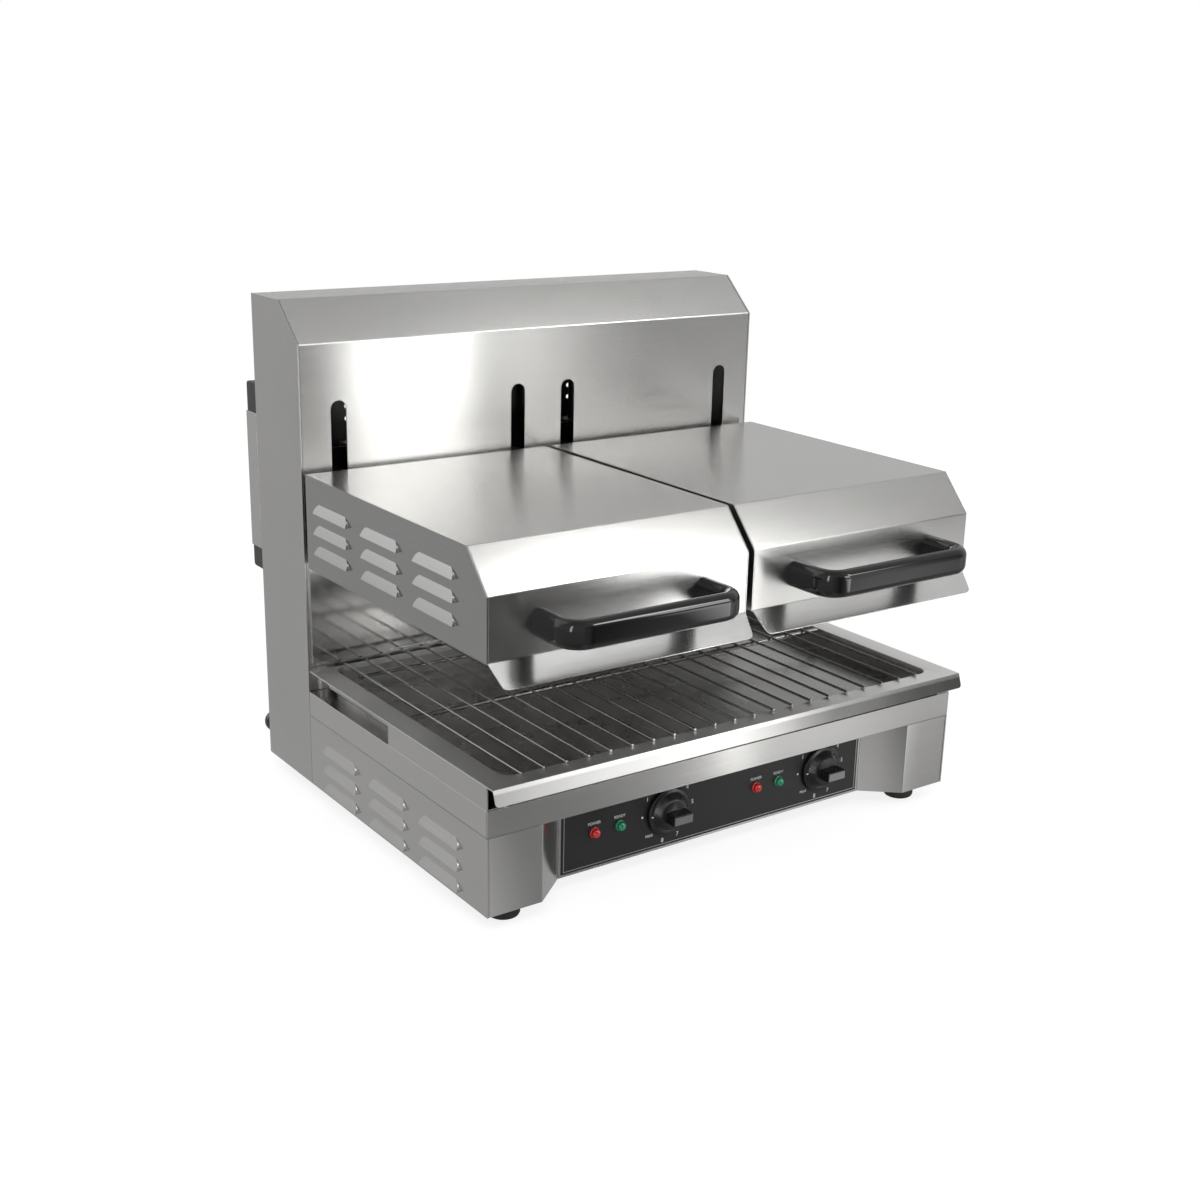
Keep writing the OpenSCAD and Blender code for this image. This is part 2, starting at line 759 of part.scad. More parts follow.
module handle_screw_places() {
    for (s = [-1, 1])
        translate([-head_mid + s * (handle_l - handle_t) / 2, 0, handle_z]) children();
}

module arm_screw_places() {
    for (s = [-1, 1], z = [8, arm_h - 8])
        translate([-lift_mid + s * slot_pitch / 2, head_rear_y, arm_low + z]) children();
}

module head_side_outer(side) {
    face = -side_x - 1;
    color(steel) on_side(side) louvred_panel(54, head_top - 26, face) {
        along_x(face, face + sheet_t) polygon(head_outline);
        translate([face, flange_front, head_z])
            cube([head_flange, head_rear_y - flange_front, sheet_t]);
    }
}

module head_side_inner(side) {
    face = -head_gap / 2;
    color(steel) on_side(side) {
        along_x(face - sheet_t, face) polygon(head_outline);
        translate([face - head_flange, flange_front, head_z])
            cube([head_flange, head_rear_y - flange_front, sheet_t]);
    }
}

// Rear wall of the head, which the carriage's arms are bolted to
module head_rear(side) {
    color(steel) on_side(side) difference() {
        translate([-head_out, head_rear_y - sheet_t, head_z + sheet_t])
            cube([head_out - head_in, sheet_t, head_h - 2 * sheet_t]);
        arm_screw_places() rotate([90, 0, 0]) translate([0, 0, -6])
            cylinder(r = 3.1, h = 12, $fn = 32);
    }
}

// Polished heat deflector below the front face: slanted out, with rounded lower corners
module deflector(side) {
    slope_l = norm([skirt_reach, skirt_drop]);
    angle = atan2(skirt_reach, skirt_drop);
    t = 1.2;
    top_w = head_w - 2;
    tip_w = head_w - 10;
    color(bright_steel) translate([side * head_mid, 0, head_z]) {
        // The slanted blade, drawn flat and turned about its upper edge
        rotate([-angle, 0, 0]) translate([0, 0, -slope_l]) along_y(-t, 0) {
            polygon([[-tip_w / 2 + 6, 0], [tip_w / 2 - 6, 0], [tip_w / 2 - 1.5, 1.8],
                     [tip_w / 2, 6], [top_w / 2, slope_l], [-top_w / 2, slope_l],
                     [-tip_w / 2, 6], [-tip_w / 2 + 1.5, 1.8]]);
        }
        // The hidden flange screwed behind the front face
        translate([-top_w / 2 + 2, sheet_t, -1]) cube([top_w - 4, t, 13]);
        translate([-top_w / 2 + 2, -0.6, -1.2]) cube([top_w - 4, sheet_t + t + 0.6, 1.2]);
    }
}

// Polished trough over the heating elements
module reflector(side) {
    path = [[head_rear_y - 8, head_z + 6], [head_rear_y - 30, reflector_z],
            [34, reflector_z], [12, head_z + 6]];
    color(bright_steel) difference() {
        on_side(side) along_x(-head_out, -head_in) bent_sheet(path, 1, 4);
        element_places(side) for (s = [-1, 1])
            translate([s * element_half, element_rear - 2, 0]) rotate([-90, 0, 0])
                cylinder(r = 3, h = 24, $fn = 32);
    }
}

module element_places(side) {
    for (i = [-1:1]) translate([side * head_mid + i * element_pitch, 0, element_z]) children();
}

// Three hairpin tubular heaters, their terminals at the rear
module elements(side) {
    front = 58;
    color([0.3, 0.29, 0.28]) element_places(side) {
        for (s = [-1, 1]) translate([s * element_half, front, 0]) rotate([-90, 0, 0]) {
            cylinder(r = element_r, h = element_rear - front, $fn = 32);
            translate([0, 0, element_rear - front - 0.5]) cylinder(r = 2, h = 12, $fn = 24);
        }
        translate([0, front, 0]) rotate([0, 0, 180])
            rotate_extrude(angle = 180, $fn = 48) translate([element_half, 0])
                circle(element_r, $fn = 32);
    }
}

// Two strips that carry the heaters, hung from the reflector
module element_clips(side) {
    half = head_w / 2 - 16;
    color(bright_steel) difference() {
        for (y = [110, 270]) translate([side * head_mid - half, y, element_z - 7])
            cube([2 * half, 2, reflector_z - 1 - element_z + 7]);
        element_places(side) for (s = [-1, 1]) translate([s * element_half, 0, 0])
            rotate([-90, 0, 0]) cylinder(r = element_r + 0.2, h = 400, $fn = 32);
    }
}

// ---------- Handles ----------

module bar_section() {
    r = handle_t / 2;
    translate([-r, -handle_h / 2 + r]) square([handle_t, handle_h - handle_t]);
    for (z = [-1, 1]) translate([0, z * (handle_h / 2 - r)]) circle(r, $fn = 32);
}

// Bow handle: two legs, two quarter bends and the straight grip, oblong in section
module handle(side) {
    mid_r = 19;
    half = (handle_l - handle_t) / 2;
    bar_y = -handle_reach + handle_t / 2;
    color(black_plastic) translate([side * head_mid, 0, handle_z]) difference() {
        union() {
            for (s = [-1, 1]) {
                translate([s * half, 0, 0]) along_y(bar_y + mid_r, -0.1) bar_section();
                translate([s * (half - mid_r), bar_y + mid_r, 0])
                    rotate([0, 0, s > 0 ? -90 : 180])
                        rotate_extrude(angle = 90, $fn = 64) translate([mid_r, 0]) bar_section();
            }
            translate([0, bar_y, 0]) along_x(-half + mid_r, half - mid_r) bar_section();
        }
        for (s = [-1, 1]) translate([s * half, 0.1, 0]) rotate([90, 0, 0])
            cylinder(r = 3, h = 15, $fn = 32);
    }
}

// Socket-head screw on the inside of a wall, its shank pointing along -Y from the wall
module socket_screw(shank) {
    rotate([90, 0, 0]) cylinder(r = 3, h = shank, $fn = 32);
    rotate([-90, 0, 0]) difference() {
        cylinder(r = 5, h = 5, $fn = 32);
        translate([0, 0, 2]) cylinder(r = 2.4, h = 4, $fn = 6);
    }
}

// Screws inside a head: two into its handle and four into the carriage's arms
module head_screws(side) {
    color(bright_steel) on_side(side) {
        handle_screw_places() translate([0, sheet_t, 0]) socket_screw(16);
        arm_screw_places() translate([0, -sheet_t, 0]) mirror([0, 1, 0]) socket_screw(13);
    }
}

// ---------- Nodes ----------

place() tower_side(-1);  // tower_side_left
place() tower_side(1);  // tower_side_right
place() tower_wrapper();
place() splash_back();
place() back_panel();
place() back_screws();
place() wall_spacers();
place() spacer_covers();
place() cable_gland();
place() guide_rods();
place() rod_bars();
place() stop_buffers();
place() base_top();
place() base_side(-1);  // base_side_left
place() base_side(1);  // base_side_right
place() leg(-1);  // leg_left
place() leg(1);  // leg_right
place() fascia();
place() label_plate();
place() base_bottom();
place() pan_guards();
place() feet();
place() foot_screws();
place() regulators();
place() pilot_lamps_red();
place() pilot_lamps_green();
place() terminal_block();
place() knob(0);  // knob_left
place() knob(1);  // knob_right
place() knob_shaft(0);  // knob_shaft_left
place() knob_shaft(1);  // knob_shaft_right
place() drip_pan();
place() wire_rack();
place() head_cover(-1);  // head_cover_left
place() head_cover(1);  // head_cover_right
place() head_side_outer(-1);  // head_side_outer_left
place() head_side_outer(1);  // head_side_outer_right
place() head_side_inner(-1);  // head_side_inner_left
place() head_side_inner(1);  // head_side_inner_right
place() head_rear(-1);  // head_rear_left
place() head_rear(1);  // head_rear_right
place() deflector(-1);  // deflector_left
place() deflector(1);  // deflector_right
place() reflector(-1);  // reflector_left
place() reflector(1);  // reflector_right
place() elements(-1);  // elements_left
place() elements(1);  // elements_right
place() element_clips(-1);  // element_clips_left
place() element_clips(1);  // element_clips_right
place() handle(-1);  // handle_left
place() handle(1);  // handle_right
place() head_screws(-1);  // head_screws_left
place() head_screws(1);  // head_screws_right
place() carriage(-1);  // carriage_left
place() carriage(1);  // carriage_right
place() bushes(-1);  // bushes_left
place() bushes(1);  // bushes_right
place() lift_spring(-1);  // lift_spring_left
place() lift_spring(1);  // lift_spring_right
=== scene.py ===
"""Finish, lettering, light and camera for a counter-top cheese melter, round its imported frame."""

import json
import math

import bmesh
import bpy
from bpy.props import FloatProperty, FloatVectorProperty, PointerProperty
from mathutils import Matrix, Vector

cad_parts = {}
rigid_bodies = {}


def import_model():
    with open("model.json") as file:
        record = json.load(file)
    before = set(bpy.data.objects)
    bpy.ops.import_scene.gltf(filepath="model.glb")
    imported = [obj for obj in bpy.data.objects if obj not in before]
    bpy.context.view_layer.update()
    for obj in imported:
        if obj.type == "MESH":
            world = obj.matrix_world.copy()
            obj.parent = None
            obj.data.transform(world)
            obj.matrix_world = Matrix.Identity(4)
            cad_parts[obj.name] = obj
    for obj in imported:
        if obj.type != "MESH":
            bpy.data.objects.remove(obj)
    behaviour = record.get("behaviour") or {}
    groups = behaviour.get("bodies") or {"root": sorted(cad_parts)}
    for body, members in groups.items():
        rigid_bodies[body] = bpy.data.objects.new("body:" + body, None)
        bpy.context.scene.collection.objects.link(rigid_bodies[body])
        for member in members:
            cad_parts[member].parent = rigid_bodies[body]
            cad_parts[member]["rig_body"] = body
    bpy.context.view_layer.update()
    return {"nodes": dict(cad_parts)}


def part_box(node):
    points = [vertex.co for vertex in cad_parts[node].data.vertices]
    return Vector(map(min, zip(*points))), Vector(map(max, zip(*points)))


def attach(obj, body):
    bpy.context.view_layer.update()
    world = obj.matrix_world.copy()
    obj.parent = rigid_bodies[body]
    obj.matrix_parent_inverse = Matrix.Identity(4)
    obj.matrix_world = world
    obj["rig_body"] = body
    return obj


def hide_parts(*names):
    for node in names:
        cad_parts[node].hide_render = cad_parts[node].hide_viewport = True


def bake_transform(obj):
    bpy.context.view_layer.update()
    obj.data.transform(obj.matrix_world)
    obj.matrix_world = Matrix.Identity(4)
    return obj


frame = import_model()

bl_info = {
    "name": "Cheese melter finish",
    "version": (1, 0, 0),
    "blender": (4, 5, 0),
    "location": "View3D > Sidebar > Melter",
    "description": "Dresses the melter's frame: steel grain, plastics, dial lettering, light and camera",
    "category": "Object",
}

# Sheet-metal nodes by finish; brushed ones by the axis that their grain follows
BRUSHED_ALONG_X = ("tower_wrapper", "back_panel", "base_top", "fascia", "spacer_covers",
                   "head_cover_left", "head_cover_right", "head_rear_left", "head_rear_right")
BRUSHED_ALONG_Y = ("pan_guards", "head_side_inner_left", "head_side_inner_right")
LEGS = ("leg_left", "leg_right")
LOUVRED_BASE_SIDES = ("base_side_left", "base_side_right")
LOUVRED_HEAD_SIDES = ("head_side_outer_left", "head_side_outer_right")
BRUSHED_ALONG_Z = ("tower_side_left", "tower_side_right")
POLISHED = ("splash_back", "reflector_left", "reflector_right")
DEFLECTORS = ("deflector_left", "deflector_right")
PLAIN_STEEL = ("rod_bars", "base_bottom")
FASTENERS = ("back_screws", "foot_screws", "knob_shaft_left", "knob_shaft_right",
             "element_clips_left", "element_clips_right", "head_screws_left",
             "head_screws_right")
# Painted shade: the guide rods and carriages are given a near-black colour so that the slots in the
# heads read black, as their shade does
SLOT_SHADE_STEEL = ("guide_rods", "carriage_left", "carriage_right")

# Soft lights seen in reflections: from and to azimuth (0 in front, 90 on the right), its
# softness, from and to elevation, its softness, all in degrees, then the level added
STRIPS = (
    (42.0, 52.5, 2.0, 32.0, 46.0, 1.0, 10.0),
    (48.0, 54.0, 1.0, 29.0, 32.0, 1.0, 5.00),
    (17.0, 29.5, 1.5, 13.0, 26.0, 1.5, 4.00),
    (-62.0, -54.0, 1.0, -10.0, 50.0, 4.0, 6.00),
    (44.0, 58.0, 1.2, 46.0, 70.0, 3.0, 0.60),
    (-175.0, -110.0, 5.0, 5.5, 70.0, 2.0, 0.75),
)

# Level of the surroundings in reflections by height, from straight down to straight up,
# in front of the object and behind it
FRONT_LEVELS = ((0.0, 0.22), (0.25, 0.30), (0.33, 0.42), (0.40, 0.50), (0.5, 0.56),
                (0.85, 0.56), (1.0, 0.40))
REAR_LEVELS = ((0.0, 0.40), (0.30, 0.46), (0.50, 0.46), (0.53, 0.48), (0.57, 0.66),
               (0.75, 0.68), (1.0, 0.40))

# Reflecting cards in front of the object, in metres: from and to across, their place in
# depth, from and to in height
TALL_CARD = ((-0.3, 1.7), -0.7345, (-1.0, 0.68))
LOW_CARD = ((-0.32, 0.42), -0.285, (0.128, 0.176))

# Level across each card, by metres to the right
CARD_LEVELS = ((-0.30, 0.35), (-0.15, 0.28), (-0.05, 0.08), (0.02, 0.04), (0.08, 0.12),
               (0.20, 0.38), (0.30, 0.55), (0.44, 1.08), (0.54, 1.38), (0.65, 1.32),
               (0.80, 0.85), (0.90, 0.95), (1.05, 0.95))
LOW_CARD_LEVELS = ((-0.26, 0.95), (-0.215, 1.35), (-0.165, 1.55), (-0.115, 1.95),
                   (-0.07, 2.30), (0.0, 2.40), (0.07, 1.60), (0.11, 0.95), (0.16, 0.52),
                   (0.24, 0.26), (0.36, 0.08))

# Soft changes on the tall card: from and to in metres, then the factor or level at each.
# The stripe's lean is in metres across for each metre up.
FOOT = (-0.22, -0.06, 0.42, 1.0)
FOOT_GLOW_ACROSS = (-0.06, 0.30, 0.50, 0.0)
FOOT_GLOW_UP = (-0.22, -0.07, 1.0, 0.0)
STRIPE_LEAN = 0.556
STRIPE_LEFT_LOW = (0.27, 0.44, 0.0, 1.0)
STRIPE_LEFT_HIGH = (0.16, 0.25, 0.0, 1.0)
STRIPE_RIGHT = (0.41, 0.45, 1.0, 0.0)
STRIPE_UP_LOW = (0.29, 0.37, 4.5, 0.3)
STRIPE_UP_HIGH = (0.43, 0.50, 0.0, 6.5)
SHADE_LEFT = (0.42, 0.46, 0.0, 1.0)
SHADE_RIGHT = (0.54, 0.68, -0.18, -0.66)
SHADE_UP = (0.10, 0.28, 0.0, 1.0)

# Floor: half its width in metres, its glow, and the share of glow that the camera sees
FLOOR_REACH = 12.0
FLOOR_GLOW = 1.18
FLOOR_GLOW_SHARE = 0.7

# Mesh clean-up: merging distance in metres, angle of flats to join, angle of sharp edges
MERGE_DISTANCE = 0.000002
FLAT_ANGLE = math.radians(0.6)
SHARP_ANGLE = math.radians(32)

# The legs and the louvred panels: angle of sharp edges, and their rounding in metres
PRESSED_SHARP_ANGLE = math.radians(14)
PRESSED_EDGE = 0.0007

# Heights between which the pan changes from its basin to its flanges, in metres: the basin is smoother
# and painted darker as shade under the heads, the flanges are satin and painted lighter
PAN_SHADE_AND_FINISH_HEIGHTS = (0.1465, 0.1485)

# Range of a noise's values that is spread over the range wanted
NOISE_LOW = 0.3
NOISE_HIGH = 0.7

# Capitals' share of the font size; the rest of the printing in metres, with the words'
# rise from the lamps' middles
CAPITAL_SHARE = 0.7
INK_HALF_THICKNESS = 0.00003
DOT_RADIUS = 0.0011
WORD_RISE = 0.0095
BORDER_WIDTH = 0.0007
BORDER_HALF_THICKNESS = 0.00005

# Knob trim in metres: the foil about the grip's end, the pointer's ends left of the axis
# and its faces in front of the skirt's back
FOIL_HALF_WIDTH = 0.0112
FOIL_HALF_HEIGHT = 0.0042
FOIL_PROUD = 0.0002
FOIL_SUNK = 0.0003
POINTER_FROM = 0.0240
POINTER_TO = 0.0185
POINTER_FRONT = 0.0050
POINTER_REAR = 0.0040
POINTER_HALF_HEIGHT = 0.0006


# ---------- Properties ----------

class MelterFinish(bpy.types.PropertyGroup):
    """Colours and surface sizes that a user would change"""

    steel_color: FloatVectorProperty(
        name="Brushed steel", description="Colour of the brushed stainless steel",
        default=(0.60, 0.595, 0.58), subtype="COLOR", size=3, min=0.0, max=1.0)
    # Painted shade: the heads' side panels are the same steel as the rest, given a darker colour to
    # paint the shade they show
    head_side_color: FloatVectorProperty(
        name="Head sides", description="Colour of the heads' louvred side panels",
        default=(0.42, 0.42, 0.415), subtype="COLOR", size=3, min=0.0, max=1.0)
    polish_color: FloatVectorProperty(
        name="Polished steel", description="Colour of the polished deflectors and splash plate",
        default=(0.72, 0.715, 0.70), subtype="COLOR", size=3, min=0.0, max=1.0)
    plastic_color: FloatVectorProperty(
        name="Black plastic", description="Colour of the handles, knobs and label",
        default=(0.006, 0.006, 0.0065), subtype="COLOR", size=3, min=0.0, max=1.0)
    edge_width: FloatProperty(
        name="Edge rounding", description="Width of the rounding on cut sheet edges",
        default=0.0004, unit="LENGTH", min=0.0, max=0.001)
    grain_pitch: FloatProperty(
        name="Grain pitch", description="Spacing of the brushed grain across its run",
        default=0.0006, unit="LENGTH", min=0.0001, max=0.005)
    grain_length: FloatProperty(
        name="Grain length", description="Length of one brush stroke along its run",
        default=0.12, unit="LENGTH", min=0.005, max=1.0)


class MelterDial(bpy.types.PropertyGroup):
    """Sizes of the lettering round the knobs and on the label"""

    mark_radius: FloatProperty(
        name="Mark radius", description="Distance of the dial numbers from the knob's axis",
        default=0.032, unit="LENGTH", min=0.028, max=0.036)
    number_height: FloatProperty(
        name="Number height", description="Height of the dial numbers",
        default=0.0046, unit="LENGTH", min=0.002, max=0.008)
    word_height: FloatProperty(
        name="Word height", description="Height of the words over the lamps",
        default=0.0031, unit="LENGTH", min=0.002, max=0.006)
    sweep: FloatProperty(
        name="Sweep", description="Turn of the knob from its dot to its last mark",
        default=math.radians(315), subtype="ANGLE", min=0.0, max=math.tau)
    border_inset: FloatProperty(
        name="Border inset", description="Distance of the label's silver line from its edge",
        default=0.0022, unit="LENGTH", min=0.001, max=0.006)


class MelterStage(bpy.types.PropertyGroup):
    """Levels of the lamps and the surroundings"""

    key_power: FloatProperty(
        name="Key", description="Power of the large lamp above on the left, in watts",
        default=26.0, min=0.0, max=500.0)
    fill_power: FloatProperty(
        name="Fill", description="Power of the lamp in front on the right, in watts",
        default=14.0, min=0.0, max=500.0)
    room_level: FloatProperty(
        name="Room", description="Level of the surrounding light on matt surfaces",
        default=0.75, min=0.0, max=2.0)


# ---------- Material helpers ----------

def new_material(name):
    material = bpy.data.materials.new(name)
    material.use_nodes = True
    tree = material.node_tree
    return material, tree, tree.nodes["Principled BSDF"]


def object_noise(tree, scale, detail=3.0, roughness=0.5):
    """Noise on Object coordinates, scaled by the vector given, per metre."""
    coords = tree.nodes.new("ShaderNodeTexCoord")
    mapping = tree.nodes.new("ShaderNodeMapping")
    mapping.inputs["Scale"].default_value = scale
    noise = tree.nodes.new("ShaderNodeTexNoise")
    noise.inputs["Scale"].default_value = 1.0
    noise.inputs["Detail"].default_value = detail
    noise.inputs["Roughness"].default_value = roughness
    tree.links.new(coords.outputs["Object"], mapping.inputs["Vector"])
    tree.links.new(mapping.outputs["Vector"], noise.inputs["Vector"])
    return noise.outputs["Fac"]


def map_range(tree, value, low, high, start, end, curve="LINEAR"):
    """Maps a value between low and high to the range from start to end."""
    node = tree.nodes.new("ShaderNodeMapRange")
    node.interpolation_type = curve
    node.inputs["From Min"].default_value = low
    node.inputs["From Max"].default_value = high
    node.inputs["To Min"].default_value = start
    node.inputs["To Max"].default_value = end
    tree.links.new(value, node.inputs["Value"])
    return node.outputs["Result"]


def spread(tree, noise, low, high):
    """Spreads a noise over the range from low to high."""
    return map_range(tree, noise, NOISE_LOW, NOISE_HIGH, low, high)


def tinted(tree, noise, dark, light):
    """A colour between dark and light by a noise."""
    ramp = tree.nodes.new("ShaderNodeValToRGB")
    ramp.color_ramp.elements[0].position = NOISE_LOW
    ramp.color_ramp.elements[1].position = NOISE_HIGH
    ramp.color_ramp.elements[0].color = (*dark, 1.0)
    ramp.color_ramp.elements[1].color = (*light, 1.0)
    tree.links.new(noise, ramp.inputs["Fac"])
    return ramp.outputs["Color"]


def add_bump(tree, shader, height, strength, distance):
    bump = tree.nodes.new("ShaderNodeBump")
    bump.inputs["Strength"].default_value = strength
    bump.inputs["Distance"].default_value = distance
    tree.links.new(height, bump.inputs["Height"])
    tree.links.new(bump.outputs["Normal"], shader.inputs["Normal"])


def maths(tree, operation, *values):
    """Math node on sockets or plain numbers."""
    node = tree.nodes.new("ShaderNodeMath")
    node.operation = operation
    for socket, value in zip(node.inputs, values):
        if isinstance(value, float):
            socket.default_value = value
        else:
            tree.links.new(value, socket)
    return node.outputs["Value"]


def smooth_step(tree, value, low, high, start=0.0, end=1.0):
    return map_range(tree, value, low, high, start, end, "SMOOTHSTEP")


def window(tree, angle, low, high, soft):
    """One between two angles in degrees, zero outside, with soft ends."""
    rise = smooth_step(tree, angle, math.radians(low - soft), math.radians(low + soft))
    fall = smooth_step(tree, angle, math.radians(high - soft), math.radians(high + soft),
                       1.0, 0.0)
    return maths(tree, "MULTIPLY", rise, fall)


def level_ramp(tree, value, stops):
    ramp = tree.nodes.new("ShaderNodeValToRGB")
    elements = ramp.color_ramp.elements
    while len(elements) < len(stops):
        elements.new(0.5)
    for element, (position, level) in zip(elements, stops):
        element.position = position
        element.color = (level, level, level, 1.0)
    tree.links.new(value, ramp.inputs["Fac"])
    return ramp.outputs["Color"]


def shade_of(color, factor):
    return tuple(min(1.0, channel * factor) for channel in color)


def brushed_steel(name, color, axis, roughness=0.21, stretch=0.96):
    """Stainless sheet with a fine grain along one axis, its highlights stretched across it."""
    finish = bpy.context.scene.melter_finish
    material, tree, shader = new_material(name)
    across = 1.0 / finish.grain_pitch
    along = 1.0 / finish.grain_length
    scale = [across, across, across]
    scale["XYZ".index(axis)] = along
    grain = object_noise(tree, scale, detail=3.0)
    cloud = object_noise(tree, (7.0, 7.0, 7.0), detail=2.0)
    shader.inputs["Metallic"].default_value = 1.0
    shader.inputs["Anisotropic"].default_value = stretch
    color_mix = tree.nodes.new("ShaderNodeMix")
    color_mix.data_type = "RGBA"
    color_mix.blend_type = "MULTIPLY"
    color_mix.inputs["Factor"].default_value = 1.0
    tree.links.new(tinted(tree, grain, shade_of(color, 0.965), shade_of(color, 1.03)),
                   color_mix.inputs[6])
    tree.links.new(tinted(tree, cloud, (0.96, 0.96, 0.96), (1.0, 1.0, 1.0)),
                   color_mix.inputs[7])
    tree.links.new(color_mix.outputs[2], shader.inputs["Base Color"])
    tree.links.new(spread(tree, grain, roughness * 0.92, roughness * 1.1),
                   shader.inputs["Roughness"])
    add_bump(tree, shader, grain, strength=0.02, distance=0.00001)
    # Highlights run across the grain: tangent = normal x grain axis, tilted a little so
    # that faces square to the grain have a tangent too
    geometry = tree.nodes.new("ShaderNodeNewGeometry")
    cross = tree.nodes.new("ShaderNodeVectorMath")
    cross.operation = "CROSS_PRODUCT"
    direction = [0.0, 0.0, 0.0]
    direction["XYZ".index(axis)] = 1.0
    direction[1 if axis == "X" else 0] = 0.03
    cross.inputs[1].default_value = direction
    tree.links.new(geometry.outputs["Normal"], cross.inputs[0])
    tree.links.new(cross.outputs["Vector"], shader.inputs["Tangent"])
    return material


def polished_steel(name, color, roughness=0.07):
    """Near-mirror sheet with faint wiping marks and slow waves in its surface."""
    material, tree, shader = new_material(name)
    smear = object_noise(tree, (18.0, 25.0, 25.0), detail=5.0, roughness=0.6)
    wave = object_noise(tree, (9.0, 9.0, 14.0), detail=1.0)
    shader.inputs["Metallic"].default_value = 1.0
    tree.links.new(tinted(tree, smear, shade_of(color, 0.96), color), shader.inputs["Base Color"])
    tree.links.new(spread(tree, smear, roughness, roughness + 0.06), shader.inputs["Roughness"])
    add_bump(tree, shader, wave, strength=0.25, distance=0.0006)
    return material


def pan_sheet(name, color):
    """Pan sheet, satin on the flanges and smoother in the basin; the basin is painted darker as shade
    under the heads, the flanges lighter.
    """
    material, tree, shader = new_material(name)
    smear = object_noise(tree, (12.0, 14.0, 14.0), detail=2.0)
    coords = tree.nodes.new("ShaderNodeTexCoord")
    parts = tree.nodes.new("ShaderNodeSeparateXYZ")
    tree.links.new(coords.outputs["Object"], parts.inputs["Vector"])
    flange = smooth_step(tree, parts.outputs["Z"], *PAN_SHADE_AND_FINISH_HEIGHTS)
    mix = tree.nodes.new("ShaderNodeMix")
    mix.data_type = "RGBA"
    tree.links.new(flange, mix.inputs["Factor"])
    # Painted shade: the basin's colour is darkened to stand for the shade under the heads, and the
    # flanges' colour is raised above the sheet's own
    tree.links.new(tinted(tree, smear, shade_of(color, 0.58), shade_of(color, 0.72)),
                   mix.inputs[6])
    mix.inputs[7].default_value = (*shade_of(color, 1.1), 1.0)
    tree.links.new(mix.outputs[2], shader.inputs["Base Color"])
    shader.inputs["Metallic"].default_value = 1.0
    rough = maths(tree, "MULTIPLY_ADD", flange, 0.10, spread(tree, smear, 0.24, 0.32))
    tree.links.new(rough, shader.inputs["Roughness"])
    return material


def plain_metal(name, color, roughness, grain=400.0):
    """Plated or oxidised steel with a fine mottled surface."""
    material, tree, shader = new_material(name)
    mottle = object_noise(tree, (grain, grain, grain), detail=3.0)
    shader.inputs["Metallic"].default_value = 1.0
    tree.links.new(tinted(tree, mottle, shade_of(color, 0.85), shade_of(color, 1.08)),
                   shader.inputs["Base Color"])
    tree.links.new(spread(tree, mottle, roughness - 0.06, roughness + 0.08),
                   shader.inputs["Roughness"])
    add_bump(tree, shader, mottle, strength=0.12, distance=0.00005)
    return material


def moulded_plastic(name, color, roughness, texture=0.00003, grain=900.0):
    """Moulded plastic or rubber with a fine skin texture."""
    material, tree, shader = new_material(name)
    skin = object_noise(tree, (grain, grain, grain), detail=2.0)
    wear = object_noise(tree, (30.0, 30.0, 30.0), detail=4.0, roughness=0.6)
    tree.links.new(tinted(tree, skin, shade_of(color, 0.85), shade_of(color, 1.15)),
                   shader.inputs["Base Color"])
    tree.links.new(spread(tree, wear, roughness * 0.85, roughness * 1.2),
                   shader.inputs["Roughness"])
    add_bump(tree, shader, skin, strength=0.3, distance=texture)
    return material


def lamp_lens(name, color):
    """Clear tinted lens, slightly cloudy inside."""
    material, tree, shader = new_material(name)
    cloud = object_noise(tree, (260.0, 260.0, 260.0), detail=2.0)
    tree.links.new(tinted(tree, cloud, shade_of(color, 0.7), color), shader.inputs["Base Color"])
    shader.inputs["Roughness"].default_value = 0.12
    shader.inputs["Coat Weight"].default_value = 0.8
    shader.inputs["Coat Roughness"].default_value = 0.04
    return material


def print_ink(name, color):
    """Screen-printed ink on the label."""
    material, tree, shader = new_material(name)
    speck = object_noise(tree, (2500.0, 2500.0, 2500.0), detail=2.0)
    tree.links.new(tinted(tree, speck, shade_of(color, 0.9), color), shader.inputs["Base Color"])
    shader.inputs["Roughness"].default_value = 0.45
    return material


# ---------- Piece helpers ----------

def body_of(node):
    return frame["nodes"][node]["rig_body"]


def centre_of(node):
    low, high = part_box(node)
    return (Vector(low) + Vector(high)) / 2


def add_piece(name, mesh, material, body):
    piece = bpy.data.objects.new(name, mesh)
    bpy.context.scene.collection.objects.link(piece)
    mesh.materials.clear()
    mesh.materials.append(material)
    if body:
        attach(piece, body)
    return piece


def dress(node, material, edge=0.0, segments=2, sharp=SHARP_ANGLE, stretched_by=None):
    """A copy of a CAD node with its doubles merged, its flats joined and its edges rounded.

    A node given stretched_by is attached to no body, its place baked into its mesh.
    """
    mesh = frame["nodes"][node].data.copy()
    shape = bmesh.new()
    shape.from_mesh(mesh)
    bmesh.ops.remove_doubles(shape, verts=shape.verts, dist=MERGE_DISTANCE)
    bmesh.ops.dissolve_limit(shape, angle_limit=FLAT_ANGLE, verts=shape.verts,
                             edges=shape.edges)
    shape.to_mesh(mesh)
    shape.free()
    mesh.shade_smooth()
    mesh.set_sharp_from_angle(angle=sharp)
    body = None if stretched_by else body_of(node)
    piece = add_piece(node + "_finish", mesh, material, body)
    if stretched_by:
        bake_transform(piece)
    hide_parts(node)
    if edge > 0:
        rounding = piece.modifiers.new("edge_rounding", "BEVEL")
        rounding.width = edge
        rounding.segments = segments
        rounding.limit_method = "ANGLE"
        rounding.angle_limit = sharp
        rounding.harden_normals = True
    return piece


